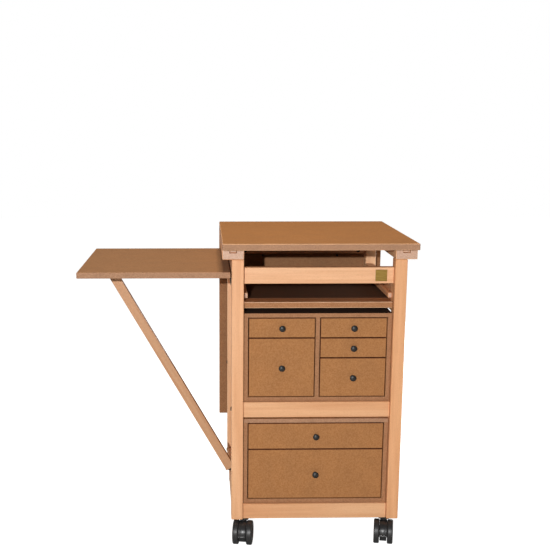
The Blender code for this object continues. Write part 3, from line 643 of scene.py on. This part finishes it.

# The fronts' dark edge and arris tones are a painted shade for the gaps between the drawers.
shade_edged_front_board = raw_fibreboard("raw_fibreboard_front_shade_edged", "XZ", ("#9E6A3D", "#AE794A"), ("#683619", "#764022"))
tray_board = raw_fibreboard("raw_fibreboard_tray", "Z")
for drawer in DRAWERS:
    low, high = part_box(drawer)
    front = board(f"{drawer}_front", low, (high.x, low.y + DRAWER_FRONT, high.z), FRONT_ARRIS)
    settle(front, shade_edged_front_board, f"{drawer}_box")
    tray_low = Vector((low.x, low.y + DRAWER_FRONT, low.z + TRAY_LIFT))
    tray_high = Vector((high.x, high.y, high.z - TRAY_DROP))
    inner_left, inner_right = low.x + DRAWER_SIDE, high.x - DRAWER_SIDE
    inner_back = high.y - DRAWER_SIDE
    sides = [
        board("side", tray_low, (inner_left, tray_high.y, tray_high.z)),
        board("side", (inner_right, tray_low.y, tray_low.z), tray_high),
        board("back", (inner_left, inner_back, tray_low.z), (inner_right, tray_high.y, tray_high.z)),
    ]
    settle(join(sides, f"{drawer}_tray"), tray_board, f"{drawer}_box")
    bottom_high = (inner_right, inner_back, tray_low.z + DRAWER_BOTTOM)
    bottom = board(f"{drawer}_bottom", (inner_left, tray_low.y, tray_low.z), bottom_high)
    settle(bottom, level_board, f"{drawer}_box")
    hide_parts(drawer)


# Drawer knobs
# Small mushroom knobs of black plastic, moulded with a domed cap on a short stem. Each is screwed on at the
# middle of its drawer's front.
KNOB_STEM_RADIUS = 0.0042
KNOB_STEM_BOTTOM = 0.0016
KNOB_FOOT_RADIUS = 0.0055
KNOB_FOOT_HEIGHT = 0.0006
KNOB_LIP = 0.0016
CAP_UNDER_RIM = 0.0028
# The rim's height as a share of the knob's length, and the crown's radius as a share of the knob's.
RIM_SHARE = 0.66
CROWN_SHARE = 1.55


def moulded_plastic(name, colour, rough):
    """Black moulded plastic: a satin skin with a fine spark-eroded texture.

    Its pits are under a tenth of a millimetre across, and are drawn several times as coarse to show.
    """
    made, shader = finish(name)
    place = add(made, "ShaderNodeTexCoord")
    where = place.outputs["Object"]
    skin = add(made, "ShaderNodeTexNoise", {"Vector": where, "Scale": 1 / 0.0006, "Detail": 2.0})
    haze = add(made, "ShaderNodeTexNoise", {"Vector": where, "Scale": 1 / 0.012, "Detail": 3.0})
    tint = add(made, "ShaderNodeValToRGB", {"Fac": haze.outputs["Fac"]})
    tint.color_ramp.elements[0].position = 0.3
    tint.color_ramp.elements[0].color = linear(colour)
    tint.color_ramp.elements[1].position = 0.75
    tint.color_ramp.elements[1].color = tuple(1.5 * c for c in linear(colour)[:3]) + (1.0,)
    gloss = add(made, "ShaderNodeMapRange", {
        "Value": haze.outputs["Fac"], "To Min": rough - 0.06, "To Max": rough + 0.08})
    grain = add(made, "ShaderNodeBump", {"Height": skin.outputs["Fac"], "Strength": 0.1, "Distance": 0.0001})
    made.node_tree.links.new(tint.outputs["Color"], shader.inputs["Base Color"])
    made.node_tree.links.new(gloss.outputs["Result"], shader.inputs["Roughness"])
    made.node_tree.links.new(grain.outputs["Normal"], shader.inputs["Normal"])
    shader.inputs["IOR"].default_value = 1.5
    return made


knob_plastic = moulded_plastic("black_knob_plastic", "#1B1A19", 0.44)
low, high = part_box(f"{DRAWERS[0]}_knob")
radius = (high.x - low.x) / 2
length = high.y - low.y
rim = length * RIM_SHARE
crown = arc((0.0, length - radius * CROWN_SHARE), radius * CROWN_SHARE, 90, 51, 7)
lip = arc((radius - KNOB_LIP, rim), KNOB_LIP, 40, -80, 6)
stem = [(KNOB_STEM_RADIUS, rim - CAP_UNDER_RIM), (KNOB_STEM_RADIUS, KNOB_STEM_BOTTOM)]
foot = [(KNOB_FOOT_RADIUS, KNOB_FOOT_HEIGHT), (KNOB_FOOT_RADIUS, 0.0), (0.0, 0.0)]
knob_model = turned("knob", crown + lip + stem + foot)
for drawer in DRAWERS:
    low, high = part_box(f"{drawer}_knob")
    middle = (low + high) / 2
    places = [facing((0, -1, 0), (middle.x, high.y, middle.z))]
    knob = copies(knob_model, f"{drawer}_turned_knob", places, keep=True)
    settle(knob, knob_plastic, f"{drawer}_box")
    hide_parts(f"{drawer}_knob")
bpy.data.objects.remove(knob_model, do_unlink=True)


# Badge plate
# A small square cut from brass sheet, brushed and lacquered. It is pinned at its corners to the upper front
# rail, near the right post.
BADGE_PIN_RADIUS = 0.0011
BADGE_PIN_RISE = 0.0006
BADGE_PIN_INSET = 0.0032


def satin_brass(name):
    """Lacquered brass, brushed from side to side: a dull yellow metal that has toned down a little.

    Real brush marks are a few hundredths of a millimetre wide, and are drawn half a millimetre wide to show.
    """
    made, shader = finish(name)
    place = add(made, "ShaderNodeTexCoord")
    brushed = add(made, "ShaderNodeMapping", {
        "Vector": place.outputs["Object"], "Scale": (1 / 0.016667, 1 / 0.0025, 1 / 0.00045455)})
    lines = add(made, "ShaderNodeTexNoise", {
        "Vector": brushed.outputs["Vector"], "Scale": 1.0, "Detail": 3.0})
    tone = add(made, "ShaderNodeValToRGB", {"Fac": lines.outputs["Fac"]})
    tone.color_ramp.elements[0].position = 0.3
    tone.color_ramp.elements[0].color = linear("#8A6E36")
    tone.color_ramp.elements[1].position = 0.7
    tone.color_ramp.elements[1].color = linear("#B0904E")
    gloss = add(made, "ShaderNodeMapRange", {"Value": lines.outputs["Fac"], "To Min": 0.34, "To Max": 0.5})
    relief = add(made, "ShaderNodeBump", {
        "Height": lines.outputs["Fac"], "Strength": 0.08, "Distance": 0.0001})
    made.node_tree.links.new(tone.outputs["Color"], shader.inputs["Base Color"])
    made.node_tree.links.new(gloss.outputs["Result"], shader.inputs["Roughness"])
    made.node_tree.links.new(relief.outputs["Normal"], shader.inputs["Normal"])
    shader.inputs["Metallic"].default_value = 1.0
    return made


brass = satin_brass("satin_brass")
dress(["badge_plate"], brass)
low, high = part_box("badge_plate")
dome = arc((BADGE_PIN_RADIUS - BADGE_PIN_RISE, 0.0), BADGE_PIN_RISE, 90, 0, 5)
pin = turned("pin", [(0.0, BADGE_PIN_RISE)] + dome + [(0.0, 0.0)], steps=16)
corners = [(x, z) for x in (low.x + BADGE_PIN_INSET, high.x - BADGE_PIN_INSET)
           for z in (low.z + BADGE_PIN_INSET, high.z - BADGE_PIN_INSET)]
pins = copies(pin, "badge_pins", [facing((0, -1, 0), (x, low.y, z)) for x, z in corners])
settle(pins, brass, "table")


# Casters
# Four black twin-wheel casters. A blackened plate under each post carries the stem of a moulded hood, which
# ends in a thick lip in front. The two moulded wheels run on one axle through the narrow drum below the hood.
HOOD_WIDTH = 0.0188
HOOD_RADIUS = 0.0283
HOOD_RIB = 0.0012
HOOD_RIB_SPAN = 0.00312
HOOD_CROWN = 0.030
HOOD_LIP = 0.0268
LIP_HEIGHT = 0.0032
LIP_DEPTH = 0.006
LIP_EASING = 0.0008
DRUM_RADIUS = 0.0236
DRUM_WIDTH = 0.0166
STEM_RADIUS = 0.008
COLLAR_RADIUS = 0.0124
COLLAR_THICKNESS = 0.0020
PLATE_SIDE = 0.025
PLATE_THICKNESS = 0.0025
WHEEL_WIDTH = 0.0138
WHEEL_PLAY = 0.0002
TYRE_ROUNDING = 0.003
HUB_RADIUS = 0.0075
HUB_DEPTH = 0.0006
DISH_RADIUS = 0.021
DISH_DEPTH = 0.0017
AXLE_RADIUS = 0.004
BOSS_RADIUS = 0.015
CORNERS = [f"{end}_{side}" for end in ENDS for side in SIDES]

hood_plastic = moulded_plastic("black_hood_plastic", "#242425", 0.34)
wheel_plastic = moulded_plastic("black_wheel_plastic", "#262627", 0.42)


def mirrored(profile):
    """A profile followed by its mirror image, down to the other end of the axle."""
    return profile + [(radius, -height) for radius, height in reversed(profile)]


def unite(made, other):
    """Fuses another piece into this one."""
    bpy.ops.object.select_all(action="DESELECT")
    made.select_set(True)
    bpy.context.view_layer.objects.active = made
    fused = made.modifiers.new("Fuse", "BOOLEAN")
    fused.object = other
    fused.operation = "UNION"
    bpy.ops.object.modifier_apply(modifier="Fuse")
    bpy.data.objects.remove(other, do_unlink=True)
    weld()


# The caster is modelled once, facing the front with its stem over the origin.
joints = {joint["name"]: joint for joint in frame["joints"]}
pivot = Vector(joints["caster_front_left_turn"]["pos_m"])
axle = Vector(joints["caster_front_left_roll"]["pos_m"])
wheel_radius = axle.z
across = facing((1, 0, 0), (0.0, -(axle.xy - pivot.xy).length, wheel_radius))

half = HOOD_WIDTH / 2
rib = arc((HOOD_RADIUS - HOOD_RIB, half - HOOD_RIB), HOOD_RIB, 90, -50, 6)
crown_reach = math.degrees(math.asin((half - HOOD_RIB_SPAN) / HOOD_CROWN))
crown = arc((HOOD_RADIUS - HOOD_CROWN, 0.0), HOOD_CROWN, crown_reach, 0, 5)[:-1]
pocket_end = DRUM_WIDTH / 2 - SEAT
pocket = [(0.0, pocket_end), (BOSS_RADIUS + SEAT, pocket_end), (BOSS_RADIUS + SEAT, half)]
hood_model = turned("hood", mirrored(pocket + rib + crown), steps=72)
hood_model.data.transform(across)
bpy.ops.object.select_all(action="DESELECT")
hood_model.select_set(True)
bpy.context.view_layer.objects.active = hood_model
bpy.ops.object.mode_set(mode="EDIT")
bpy.ops.mesh.select_all(action="SELECT")
bpy.ops.mesh.bisect(plane_co=(0, 0, HOOD_LIP), plane_no=(0, 0, 1), clear_inner=True, use_fill=True)
bpy.ops.object.mode_set(mode="OBJECT")
half = DRUM_WIDTH / 2
rim = arc((DRUM_RADIUS - LIP_EASING, half - LIP_EASING), LIP_EASING, 90, 0, 4)
drum = turned("drum", mirrored([(0.0, half)] + rim), steps=64)
drum.data.transform(across)
unite(hood_model, drum)
lip_front = across.translation.y - math.sqrt(wheel_radius ** 2 - (wheel_radius - HOOD_LIP - LIP_HEIGHT) ** 2)
lip_low = (-HOOD_WIDTH / 2 - WHEEL_PLAY / 2, lip_front, HOOD_LIP - LIP_EASING)
lip_high = (HOOD_WIDTH / 2 + WHEEL_PLAY / 2, lip_front + LIP_DEPTH, HOOD_LIP + LIP_HEIGHT)
unite(hood_model, board("lip", lip_low, lip_high, LIP_EASING))
plate_top = pivot.z - SEAT
plate_bottom = plate_top - PLATE_THICKNESS
collar_bottom = plate_bottom - COLLAR_THICKNESS
unite(hood_model, turned("stem", [
    (0.0, plate_bottom + SEAT), (COLLAR_RADIUS, plate_bottom + SEAT), (COLLAR_RADIUS, collar_bottom),
    (STEM_RADIUS, collar_bottom), (STEM_RADIUS, wheel_radius), (0.0, wheel_radius)]))
bore = turned("bore", mirrored([(0.0, HOOD_WIDTH), (AXLE_RADIUS + SEAT, HOOD_WIDTH)]))
bore.data.transform(across)
cut(hood_model, bore)
half = PLATE_SIDE / 2
plate_model = board("plate", (-half, -half, plate_bottom), (half, half, plate_top))

inner = HOOD_WIDTH / 2 + WHEEL_PLAY
outer = inner + WHEEL_WIDTH
hub = [
    (0.0, outer - HUB_DEPTH), (HUB_RADIUS, outer - HUB_DEPTH), (HUB_RADIUS + HUB_DEPTH, outer - DISH_DEPTH)]
dish = [(DISH_RADIUS - DISH_DEPTH, outer - DISH_DEPTH), (DISH_RADIUS, outer)]
shoulder = arc((wheel_radius - TYRE_ROUNDING, outer - TYRE_ROUNDING), TYRE_ROUNDING, 90, 0, 6)
tread = arc((wheel_radius - TYRE_ROUNDING, inner + TYRE_ROUNDING), TYRE_ROUNDING, 0, -90, 6)
boss_end = DRUM_WIDTH / 2 + WHEEL_PLAY
boss = [(BOSS_RADIUS, inner), (BOSS_RADIUS, boss_end), (AXLE_RADIUS, boss_end)]
wheel_model = turned("wheels", mirrored(hub + dish + shoulder + tread + boss), steps=72)
wheel_model.data.transform(across)

for where in CORNERS:
    stand = joints[f"caster_{where}_turn"]["pos_m"]
    axis = joints[f"caster_{where}_roll"]["axis"]
    heading = Matrix.Rotation(math.atan2(axis[1], axis[0]), 4, "Z")
    places = [Matrix.Translation((stand[0], stand[1], 0.0)) @ heading]
    swivel = f"caster_{where}_swivel"
    hood = copies(hood_model, f"caster_{where}_hood", places, keep=True)
    settle(hood, hood_plastic, swivel)
    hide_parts(f"caster_{where}")
    plate = copies(plate_model, f"caster_{where}_plate", places, keep=True)
    settle(plate, black_steel, swivel)
    wheels = copies(wheel_model, f"caster_{where}_twin_wheels", places, keep=True)
    settle(wheels, wheel_plastic, f"caster_{where}_wheel_pair")
    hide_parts(f"caster_{where}_wheels")
for model in (hood_model, plate_model, wheel_model):
    bpy.data.objects.remove(model, do_unlink=True)


# Studio
# A plain white floor and surround under soft light. A small lamp beside the lens and a warm softbox overhead
# light the front and the top, and softboxes all round light the sides and the back.
FLOOR_SIZE = 16.0
FLOOR_GLOW = 0.94
SURROUND_LIGHT = 0.12


def softbox(name, spot, target, size, power, colour="#FFFFFF"):
    """A square lamp at a spot, turned to a target."""
    data = bpy.data.lights.new(name, "AREA")
    data.shape = "SQUARE"
    data.size = size
    data.energy = power
    data.color = linear(colour)[:3]
    lamp = bpy.data.objects.new(name, data)
    lamp.location = spot
    lamp.rotation_euler = (Vector(target) - Vector(spot)).to_track_quat("-Z", "Y").to_euler()
    bpy.context.collection.objects.link(lamp)


bpy.ops.object.select_all(action="DESELECT")
bpy.ops.mesh.primitive_plane_add(size=FLOOR_SIZE)
floor = bpy.context.object
floor.name = "studio_floor"
floor_paint, floor_shader = finish("white_floor_paint")
seen = add(floor_paint, "ShaderNodeLightPath")
links = {0: seen.outputs["Is Camera Ray"], 1: FLOOR_GLOW}
glow = add(floor_paint, "ShaderNodeMath", links, operation="MULTIPLY")
floor_paint.node_tree.links.new(glow.outputs["Value"], floor_shader.inputs["Emission Strength"])
floor_shader.inputs["Base Color"].default_value = linear("#C8C8C6")
floor_shader.inputs["Roughness"].default_value = 0.8
floor_shader.inputs["Emission Color"].default_value = (1.0, 1.0, 1.0, 1.0)
floor.data.materials.append(floor_paint)
floor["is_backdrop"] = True
softbox("lens_lamp", (-0.446, -3.04, 1.19), (0.1, 0.0, 0.42), 0.03, 69.5)
softbox("overhead_softbox", (0.0, 0.0, 2.3), (0.0, 0.0, 0.7), 0.5, 21.5, "#FFEFD6")
softbox("low_left_softbox", (-2.4, 0.5, 0.45), (0.0, 0.0, 0.4), 0.5, 12.0)
softbox("low_right_softbox", (2.4, 0.5, 0.45), (0.0, 0.0, 0.4), 0.5, 12.0)
softbox("low_rear_softbox", (1.2, 2.4, 0.45), (0.0, 0.0, 0.4), 0.5, 14.0)
softbox("rear_left_softbox", (-2.2, 1.8, 1.3), (0.0, 0.2, 0.4), 1.2, 14.0)
softbox("rear_right_softbox", (2.2, 1.8, 1.3), (0.0, 0.2, 0.4), 1.2, 14.0)

surround = bpy.data.worlds.new("white_surround")
bpy.context.scene.world = surround
surround.use_nodes = True
sky = surround.node_tree.nodes["Background"]
seen = add(surround, "ShaderNodeLightPath")
links = {"Value": seen.outputs["Is Camera Ray"], "To Min": SURROUND_LIGHT}
glow = add(surround, "ShaderNodeMapRange", links)
surround.node_tree.links.new(glow.outputs["Result"], sky.inputs["Strength"])
sky.inputs["Color"].default_value = (1.0, 1.0, 1.0, 1.0)
bpy.context.scene.view_settings.view_transform = "Standard"


# Camera
# A short telephoto lens a little above and to the left of the table, tipped down, with the frame shifted as
# the photograph is cropped.
LENS = 66.38
SENSOR_WIDTH = 36.0
CAMERA_SPOT = (-0.0958, -2.5544, 1.0204)
TIP_DOWN = 0.2236
TURN_RIGHT = 0.01777
FRAME_SHIFT = (0.0947, 0.1329)

camera_data = bpy.data.cameras.new("camera")
camera_data.lens = LENS
camera_data.sensor_width = SENSOR_WIDTH
camera_data.shift_x, camera_data.shift_y = FRAME_SHIFT
camera = bpy.data.objects.new("camera", camera_data)
camera.location = CAMERA_SPOT
camera.rotation_euler = (math.pi / 2 - TIP_DOWN, 0.0, -TURN_RIGHT)
bpy.context.collection.objects.link(camera)
bpy.context.scene.camera = camera


# Sizes
# The box of the plain model and the box of the dressed one, for comparison.
bpy.context.view_layer.update()
low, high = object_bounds()
